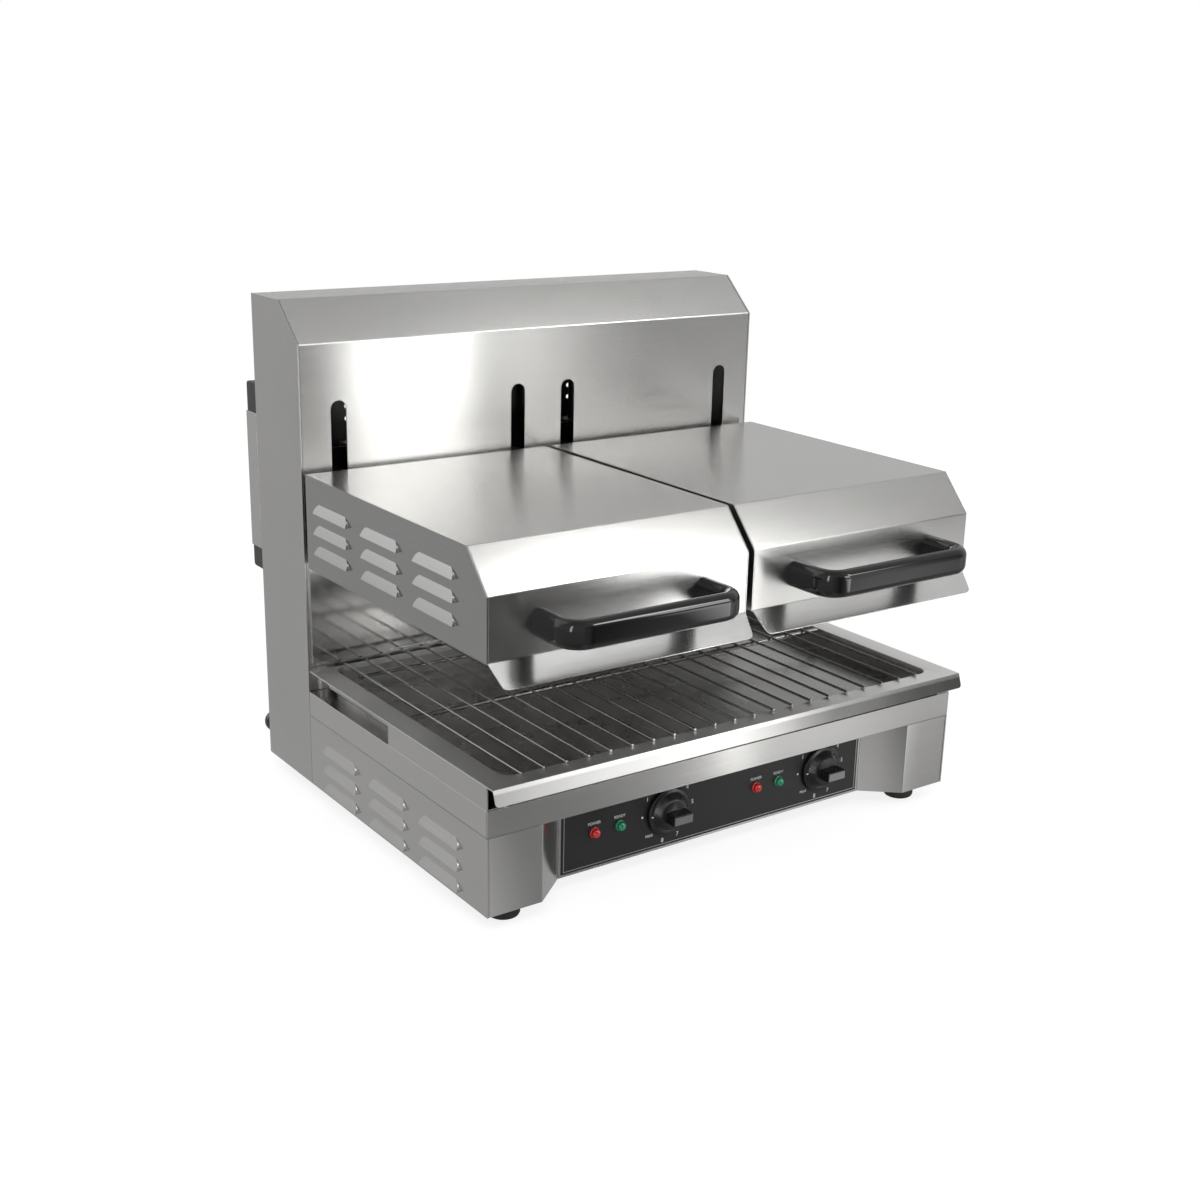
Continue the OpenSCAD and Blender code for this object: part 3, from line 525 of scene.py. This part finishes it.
def lettering(name, text, height, place, body, material):
    """Flat lettering on the label's face, centred on its place."""
    curve = bpy.data.curves.new(name + "_text", "FONT")
    curve.body = text
    curve.size = height / CAPITAL_SHARE
    curve.align_x = "CENTER"
    curve.align_y = "CENTER"
    curve.extrude = INK_HALF_THICKNESS
    source = bpy.data.objects.new(name + "_text", curve)
    bpy.context.scene.collection.objects.link(source)
    bpy.context.view_layer.update()
    mesh = bpy.data.meshes.new_from_object(source)
    bpy.data.objects.remove(source)
    bpy.data.curves.remove(curve)
    mesh.transform(Matrix.Translation(place) @ Matrix.Rotation(math.pi / 2, 4, "X"))
    return add_piece(name, mesh, material, body)


def boxed_strip(shape, low, high):
    """Adds a box from its low to its high corner."""
    low = Vector(low)
    high = Vector(high)
    made = bmesh.ops.create_cube(shape, size=1.0)["verts"]
    bmesh.ops.scale(shape, vec=high - low, verts=made)
    bmesh.ops.translate(shape, vec=(low + high) / 2, verts=made)


def mesh_from(shape, name):
    bmesh.ops.recalc_face_normals(shape, faces=shape.faces)
    mesh = bpy.data.meshes.new(name)
    shape.to_mesh(mesh)
    shape.free()
    return mesh


# ---------- Operators ----------

class MELTER_OT_cabinet(bpy.types.Operator):
    """Dress the base, the tower and the heads' sheet metal"""

    bl_idname = "melter.cabinet"
    bl_label = "Sheet metal"

    def execute(self, context):
        finish = context.scene.melter_finish
        edge = finish.edge_width
        along_x = brushed_steel("steel_grain_x", finish.steel_color, "X")
        along_y = brushed_steel("steel_grain_y", finish.steel_color, "Y", roughness=0.24,
                                stretch=0.4)
        along_z = brushed_steel("steel_grain_z", finish.steel_color, "Z", roughness=0.3,
                                stretch=0.3)
        # Painted shade: the heads' louvred sides use the darker copy of the brushed steel
        head_side = brushed_steel("steel_head_side_shaded", finish.head_side_color, "Y",
                                  roughness=0.2, stretch=0.2)
        deflector = polished_steel("steel_deflector", finish.polish_color, 0.17)
        polish = polished_steel("steel_polished", finish.polish_color)
        plain = plain_metal("steel_plated", (0.42, 0.42, 0.43), 0.42)
        for nodes, material in ((BRUSHED_ALONG_X, along_x), (BRUSHED_ALONG_Y, along_y),
                                (BRUSHED_ALONG_Z, along_z), (DEFLECTORS, deflector),
                                (POLISHED, polish), (PLAIN_STEEL, plain)):
            for node in nodes:
                dress(node, material, edge)
        for nodes, material in ((LEGS, along_x), (LOUVRED_BASE_SIDES, along_y),
                                (LOUVRED_HEAD_SIDES, head_side)):
            for node in nodes:
                dress(node, material, PRESSED_EDGE, sharp=PRESSED_SHARP_ANGLE)
        return {"FINISHED"}


class MELTER_OT_pan(bpy.types.Operator):
    """Dress the drip pan and the wire rack"""

    bl_idname = "melter.pan"
    bl_label = "Pan and rack"

    def execute(self, context):
        finish = context.scene.melter_finish
        pan = pan_sheet("steel_pan", finish.polish_color)
        # Painted shade: the rack's steel wire is given a dark colour so that it reads as dark as its
        # shade and reflections make it look
        wire = plain_metal("steel_wire_darkened", (0.34, 0.33, 0.32), 0.1, grain=700.0)
        dress("drip_pan", pan, finish.edge_width)
        dress("wire_rack", wire, 0.0012, segments=3)
        return {"FINISHED"}


class MELTER_OT_fittings(bpy.types.Operator):
    """Dress the handles, feet, spacers, gland and the inner parts"""

    bl_idname = "melter.fittings"
    bl_label = "Fittings"

    def execute(self, context):
        finish = context.scene.melter_finish
        gloss = moulded_plastic("plastic_gloss_black", finish.plastic_color, 0.055, 0.000002)
        rubber = moulded_plastic("rubber_black", (0.02, 0.02, 0.02), 0.7, 0.0001, 500.0)
        grey = moulded_plastic("plastic_dark_grey", (0.035, 0.035, 0.037), 0.5)
        ceramic = moulded_plastic("ceramic_cream", (0.72, 0.69, 0.62), 0.4)
        bright = plain_metal("steel_bright", (0.66, 0.66, 0.65), 0.25)
        heater = plain_metal("heater_oxide", (0.10, 0.095, 0.09), 0.5)
        # Painted shade: near-black inner steel standing in for the shade inside the head slots; the lift
        # springs are black oxide as well
        slot_shade_black = plain_metal("steel_slot_shade_black", (0.05, 0.05, 0.05), 0.4)
        bronze = plain_metal("bronze_bush", (0.55, 0.38, 0.18), 0.4)
        for node in ("handle_left", "handle_right"):
            dress(node, gloss)
        for node in ("feet", "stop_buffers"):
            dress(node, rubber, 0.0004)
        for node in ("wall_spacers", "regulators"):
            dress(node, grey, 0.0005)
        dress("cable_gland", gloss, 0.0003)
        dress("terminal_block", ceramic, 0.0005)
        for node in FASTENERS:
            dress(node, bright)
        for node in SLOT_SHADE_STEEL:
            dress(node, slot_shade_black)
        for side in ("left", "right"):
            dress("lift_spring_" + side, slot_shade_black, stretched_by=side + "_head")
        for node in ("elements_left", "elements_right"):
            dress(node, heater)
        for node in ("bushes_left", "bushes_right"):
            dress(node, bronze)
        return {"FINISHED"}


class MELTER_OT_controls(bpy.types.Operator):
    """Dress the label, knobs and lamps, and print the dial marks"""

    bl_idname = "melter.controls"
    bl_label = "Controls"

    def execute(self, context):
        finish = context.scene.melter_finish
        film = moulded_plastic("label_film", (0.011, 0.011, 0.012), 0.38)
        knob_skin = moulded_plastic("plastic_knob", finish.plastic_color, 0.27)
        white = print_ink("ink_white", (0.75, 0.75, 0.74))
        silver = plain_metal("foil_silver", (0.62, 0.62, 0.60), 0.3, grain=1500.0)
        dull = plain_metal("foil_dull", (0.32, 0.32, 0.31), 0.35, grain=1500.0)
        dress("label_plate", film, 0.0002)
        dress("pilot_lamps_red", lamp_lens("lens_red", (0.62, 0.015, 0.012)))
        dress("pilot_lamps_green", lamp_lens("lens_green", (0.004, 0.25, 0.12)))
        for side in ("left", "right"):
            dress("knob_" + side, knob_skin, 0.0006)
            self.knob_trim(side, white, dull)
            self.dial(context, side, white)
        self.border(context, silver)
        return {"FINISHED"}

    def knob_trim(self, side, white, dull):
        """Dull metal end of the grip and the white pointer on the skirt."""
        low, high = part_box("knob_" + side)
        centre = centre_of("knob_" + side)
        shape = bmesh.new()
        boxed_strip(shape,
                    (centre.x - FOIL_HALF_WIDTH, low[1] - FOIL_PROUD, centre.z - FOIL_HALF_HEIGHT),
                    (centre.x + FOIL_HALF_WIDTH, low[1] + FOIL_SUNK, centre.z + FOIL_HALF_HEIGHT))
        add_piece("grip_end_" + side, mesh_from(shape, "grip_end"), dull,
                  body_of("knob_" + side))
        shape = bmesh.new()
        boxed_strip(shape, (centre.x - POINTER_FROM, high[1] - POINTER_FRONT,
                            centre.z - POINTER_HALF_HEIGHT),
                    (centre.x - POINTER_TO, high[1] - POINTER_REAR,
                     centre.z + POINTER_HALF_HEIGHT))
        add_piece("pointer_" + side, mesh_from(shape, "pointer"), white,
                  body_of("knob_" + side))

    def dial(self, context, side, ink):
        """Dot, numbers and last mark round the knob, and a word over each lamp."""
        dial = context.scene.melter_dial
        face_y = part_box("label_plate")[0][1]
        centre = centre_of("knob_" + side)
        marks = ["."] + [str(number) for number in range(1, 9)] + ["MAX"]
        for index, mark in enumerate(marks):
            turn = math.pi - dial.sweep * index / (len(marks) - 1)
            place = Vector((centre.x + dial.mark_radius * math.cos(turn), face_y,
                            centre.z + dial.mark_radius * math.sin(turn)))
            name = f"dial_mark_{side}_{index}"
            if mark == ".":
                self.dot(name, place, ink)
            else:
                height = dial.word_height if mark == "MAX" else dial.number_height
                lettering(name, mark, height, place, "cabinet", ink)
        for word, node in (("POWER", "pilot_lamps_red"), ("READY", "pilot_lamps_green")):
            lamp = self.lamp_centre(node, side)
            place = Vector((lamp.x, face_y, lamp.z + WORD_RISE))
            lettering(f"word_{word.lower()}_{side}", word, dial.word_height, place,
                      "cabinet", ink)

    def lamp_centre(self, node, side):
        low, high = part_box(node)
        radius = (high[2] - low[2]) / 2
        x = low[0] + radius if side == "left" else high[0] - radius
        return Vector((x, low[1], (low[2] + high[2]) / 2))

    def dot(self, name, place, ink):
        shape = bmesh.new()
        bmesh.ops.create_cone(shape, cap_ends=True, segments=24, radius1=DOT_RADIUS,
                              radius2=DOT_RADIUS, depth=2 * INK_HALF_THICKNESS,
                              matrix=Matrix.Translation(place) @ Matrix.Rotation(
                                  math.pi / 2, 4, "X"))
        add_piece(name, mesh_from(shape, name), ink, "cabinet")

    def border(self, context, silver):
        """Thin silver line just inside the label's edge."""
        inset = context.scene.melter_dial.border_inset
        width = BORDER_WIDTH
        low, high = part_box("label_plate")
        front = low[1] - BORDER_HALF_THICKNESS
        back = low[1] + BORDER_HALF_THICKNESS
        x0 = low[0] + inset
        x1 = high[0] - inset
        z0 = low[2] + inset
        z1 = high[2] - inset
        shape = bmesh.new()
        for bottom in (z0, z1 - width):
            boxed_strip(shape, (x0, front, bottom), (x1, back, bottom + width))
        for left in (x0, x1 - width):
            boxed_strip(shape, (left, front, z0 + width), (left + width, back, z1 - width))
        add_piece("label_border", mesh_from(shape, "label_border"), silver, "cabinet")


class MELTER_OT_stage(bpy.types.Operator):
    """Floor, surroundings, lamps and camera"""

    bl_idname = "melter.stage"
    bl_label = "Stage"

    def execute(self, context):
        stage = context.scene.melter_stage
        self.floor()
        self.world(context, stage)
        self.cards()
        self.lamp("key", (-1.3, -1.5, 2.3), (1.6, 1.2), stage.key_power)
        self.lamp("fill", (1.9, -1.6, 1.3), (1.2, 1.6), stage.fill_power)
        self.camera(context)
        context.scene.view_settings.view_transform = "Standard"
        return {"FINISHED"}

    def floor(self):
        shape = bmesh.new()
        bmesh.ops.create_grid(shape, x_segments=1, y_segments=1, size=FLOOR_REACH)
        mesh = mesh_from(shape, "floor")
        if mesh.polygons[0].normal.z < 0:
            mesh.flip_normals()
        plane = bpy.data.objects.new("floor", mesh)
        bpy.context.scene.collection.objects.link(plane)
        material, tree, shader = new_material("floor_pale")
        shader.inputs["Base Color"].default_value = (0.8, 0.8, 0.8, 1.0)
        shader.inputs["Roughness"].default_value = 0.8
        shader.inputs["Specular IOR Level"].default_value = 0.2
        glow = tree.nodes.new("ShaderNodeEmission")
        glow.inputs["Color"].default_value = (1.0, 1.0, 1.0, 1.0)
        glow.inputs["Strength"].default_value = FLOOR_GLOW
        path = tree.nodes.new("ShaderNodeLightPath")
        share = maths(tree, "MULTIPLY", path.outputs["Is Camera Ray"], FLOOR_GLOW_SHARE)
        mix = tree.nodes.new("ShaderNodeMixShader")
        tree.links.new(share, mix.inputs["Fac"])
        tree.links.new(shader.outputs["BSDF"], mix.inputs[1])
        tree.links.new(glow.outputs["Emission"], mix.inputs[2])
        tree.links.new(mix.outputs["Shader"], tree.nodes["Material Output"].inputs["Surface"])
        mesh.materials.append(material)
        plane.visible_glossy = False

    def world(self, context, stage):
        """White to the camera, even on matt surfaces, shaped strips in reflections."""
        world = bpy.data.worlds.new("studio")
        context.scene.world = world
        world.use_nodes = True
        tree = world.node_tree
        tree.nodes.clear()
        path = tree.nodes.new("ShaderNodeLightPath")
        room = self.backdrop(tree, stage.room_level)
        seen = self.backdrop(tree, 1.0)
        mirrored = self.backdrop(tree, 1.0)
        tree.links.new(self.reflected_level(tree), mirrored.inputs["Strength"])
        glossy_mix = tree.nodes.new("ShaderNodeMixShader")
        camera_mix = tree.nodes.new("ShaderNodeMixShader")
        output = tree.nodes.new("ShaderNodeOutputWorld")
        tree.links.new(path.outputs["Is Glossy Ray"], glossy_mix.inputs["Fac"])
        tree.links.new(room.outputs["Background"], glossy_mix.inputs[1])
        tree.links.new(mirrored.outputs["Background"], glossy_mix.inputs[2])
        tree.links.new(path.outputs["Is Camera Ray"], camera_mix.inputs["Fac"])
        tree.links.new(glossy_mix.outputs["Shader"], camera_mix.inputs[1])
        tree.links.new(seen.outputs["Background"], camera_mix.inputs[2])
        tree.links.new(camera_mix.outputs["Shader"], output.inputs["Surface"])

    def backdrop(self, tree, level):
        node = tree.nodes.new("ShaderNodeBackground")
        node.inputs["Color"].default_value = (1.0, 1.0, 1.0, 1.0)
        node.inputs["Strength"].default_value = level
        return node

    def reflected_level(self, tree):
        """Brightness of the surroundings by direction, as reflections see it."""
        coords = tree.nodes.new("ShaderNodeTexCoord")
        parts = tree.nodes.new("ShaderNodeSeparateXYZ")
        tree.links.new(coords.outputs["Generated"], parts.inputs["Vector"])
        x, y, z = (parts.outputs[name] for name in "XYZ")
        azimuth = maths(tree, "ARCTAN2", x, maths(tree, "MULTIPLY", y, -1.0))
        elevation = maths(tree, "ARCSINE", z)
        height = maths(tree, "MULTIPLY_ADD", z, 0.5, 0.5)
        front = level_ramp(tree, height, FRONT_LEVELS)
        rear = level_ramp(tree, height, REAR_LEVELS)
        share = smooth_step(tree, y, -0.3, 0.4)
        level = maths(tree, "ADD", maths(tree, "MULTIPLY", rear, share),
                      maths(tree, "MULTIPLY", front, maths(tree, "SUBTRACT", 1.0, share)))
        for az0, az1, az_soft, el0, el1, el_soft, added in STRIPS:
            across = window(tree, azimuth, az0, az1, az_soft)
            upright = window(tree, elevation, el0, el1, el_soft)
            strip = maths(tree, "MULTIPLY", across, upright)
            level = maths(tree, "MULTIPLY_ADD", strip, added, level)
        return maths(tree, "MAXIMUM", level, 0.05)

    def cards(self):
        """Upright cards in front, seen in reflections only."""
        tree, x, z, glow = self.card("card_tall", *TALL_CARD)
        tree.links.new(self.tall_level(tree, x, z), glow.inputs["Strength"])
        tree, x, z, glow = self.card("card_low", *LOW_CARD)
        tree.links.new(self.profile(tree, x, LOW_CARD_LEVELS), glow.inputs["Strength"])

    def tall_level(self, tree, x, z):
        """Level of the tall card with its dim foot, its bright stripe and a shade beside it."""
        level = self.profile(tree, x, CARD_LEVELS)
        level = maths(tree, "MULTIPLY", level, smooth_step(tree, z, *FOOT))
        level = maths(tree, "MULTIPLY_ADD", smooth_step(tree, x, *FOOT_GLOW_ACROSS),
                      smooth_step(tree, z, *FOOT_GLOW_UP), level)
        # The stripe is in two parts; the lower one's left edge leans out as it rises
        leaning = maths(tree, "MULTIPLY_ADD", z, STRIPE_LEAN, x)
        low = maths(tree, "MULTIPLY", smooth_step(tree, leaning, *STRIPE_LEFT_LOW),
                    smooth_step(tree, z, *STRIPE_UP_LOW))
        high = maths(tree, "MULTIPLY", smooth_step(tree, x, *STRIPE_LEFT_HIGH),
                     smooth_step(tree, z, *STRIPE_UP_HIGH))
        stripe = maths(tree, "MULTIPLY", maths(tree, "MAXIMUM", low, high),
                       smooth_step(tree, x, *STRIPE_RIGHT))
        level = maths(tree, "MAXIMUM", level, stripe)
        shade = maths(tree, "MULTIPLY", smooth_step(tree, x, *SHADE_LEFT),
                      smooth_step(tree, x, *SHADE_RIGHT))
        return maths(tree, "MULTIPLY_ADD", shade, smooth_step(tree, z, *SHADE_UP), level)

    def profile(self, tree, x, levels):
        """Level by metres to the right."""
        start, end = levels[0][0], levels[-1][0]
        position = map_range(tree, x, start, end, 0.0, 1.0)
        return level_ramp(tree, position, [((place - start) / (end - start), level)
                                           for place, level in levels])

    def card(self, name, across, y, upright):
        """A glowing card facing the object; its material's level is still to be linked."""
        shape = bmesh.new()
        corners = ((across[0], upright[0]), (across[1], upright[0]),
                   (across[1], upright[1]), (across[0], upright[1]))
        shape.faces.new([shape.verts.new((x, y, z)) for x, z in corners])
        mesh = bpy.data.meshes.new(name)
        shape.to_mesh(mesh)
        shape.free()
        card = bpy.data.objects.new(name, mesh)
        bpy.context.scene.collection.objects.link(card)
        material, tree, shader = new_material(name)
        coords = tree.nodes.new("ShaderNodeTexCoord")
        parts = tree.nodes.new("ShaderNodeSeparateXYZ")
        tree.links.new(coords.outputs["Object"], parts.inputs["Vector"])
        glow = tree.nodes.new("ShaderNodeEmission")
        tree.links.new(glow.outputs["Emission"], tree.nodes["Material Output"].inputs["Surface"])
        tree.nodes.remove(shader)
        mesh.materials.append(material)
        for kind in ("camera", "diffuse", "transmission", "volume_scatter", "shadow"):
            setattr(card, "visible_" + kind, False)
        return tree, parts.outputs["X"], parts.outputs["Z"], glow

    def lamp(self, name, place, size, power):
        """Rectangular soft lamp aimed at the middle of the object."""
        light = bpy.data.lights.new(name, "AREA")
        light.shape = "RECTANGLE"
        light.size, light.size_y = size
        light.energy = power
        lamp = bpy.data.objects.new(name, light)
        bpy.context.scene.collection.objects.link(lamp)
        aim = Vector((0.0, 0.0, 0.25)) - Vector(place)
        lamp.location = place
        lamp.rotation_euler = aim.to_track_quat("-Z", "Y").to_euler()
        lamp.visible_glossy = False

    def camera(self, context):
        """Camera at the fitted place; axes are given as right, down and forward."""
        right = Vector((0.82111, -0.57042, 0.02004))
        down = Vector((-0.16085, -0.26495, -0.95075))
        forward = Vector((0.54764, 0.77745, -0.30931))
        place = Vector((-1.0036, -1.3757, 0.7425))
        optics = bpy.data.cameras.new("camera")
        optics.sensor_width = 36.0
        optics.lens = 48.574
        optics.shift_x = 0.01007
        optics.shift_y = 0.02298
        optics.clip_end = 100.0
        camera = bpy.data.objects.new("camera", optics)
        context.scene.collection.objects.link(camera)
        turn = Matrix((right, -down, -forward)).transposed().to_4x4()
        camera.matrix_world = Matrix.Translation(place) @ turn
        context.scene.camera = camera


class MELTER_PT_panel(bpy.types.Panel):
    """Sidebar panel with the melter's steps"""

    bl_label = "Cheese melter"
    bl_idname = "MELTER_PT_panel"
    bl_space_type = "VIEW_3D"
    bl_region_type = "UI"
    bl_category = "Melter"

    def draw(self, context):
        for step in STEPS:
            self.layout.operator(step.bl_idname)


STEPS = (MELTER_OT_stage, MELTER_OT_cabinet, MELTER_OT_pan, MELTER_OT_fittings,
         MELTER_OT_controls)
CLASSES = (MelterFinish, MelterDial, MelterStage, *STEPS, MELTER_PT_panel)


def register():
    for item in CLASSES:
        bpy.utils.register_class(item)
    bpy.types.Scene.melter_finish = PointerProperty(type=MelterFinish)
    bpy.types.Scene.melter_dial = PointerProperty(type=MelterDial)
    bpy.types.Scene.melter_stage = PointerProperty(type=MelterStage)


def unregister():
    del bpy.types.Scene.melter_stage
    del bpy.types.Scene.melter_dial
    del bpy.types.Scene.melter_finish
    for item in reversed(CLASSES):
        bpy.utils.unregister_class(item)


def main():
    register()
    bpy.ops.melter.stage()
    bpy.ops.melter.cabinet()
    bpy.ops.melter.pan()
    bpy.ops.melter.fittings()
    bpy.ops.melter.controls()


if __name__ == "__main__":
    main()
